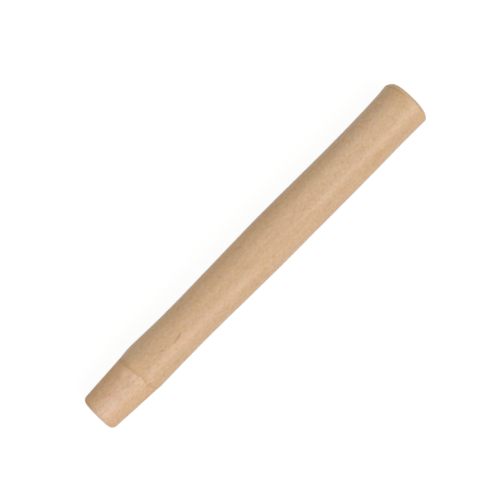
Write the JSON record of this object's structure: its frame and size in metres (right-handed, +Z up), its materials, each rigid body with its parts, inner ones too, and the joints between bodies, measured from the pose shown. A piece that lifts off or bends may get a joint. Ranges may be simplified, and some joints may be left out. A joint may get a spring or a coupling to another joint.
{
  "type": "hammer handle",
  "caption": "Bare wooden handle for a club hammer or mallet: a swelling oval grip with a flared butt, and a tapered tenon that the head's eye is driven onto.",
  "frame": {"origin": "on the surface that the handle lies on, below the tenon's axis and half way along the handle", "axes": "+X along the handle from the tenon to the butt, +Z up through the flatter faces of the oval, +Y across its wide side towards the fuller side of the butt's flare"},
  "size_m": [0.26, 0.0316, 0.0263],
  "materials": {
    "beech": "satin"
  },
  "bodies": {
    "root": {"handle": "beech"}
  },
  "joints": []
}
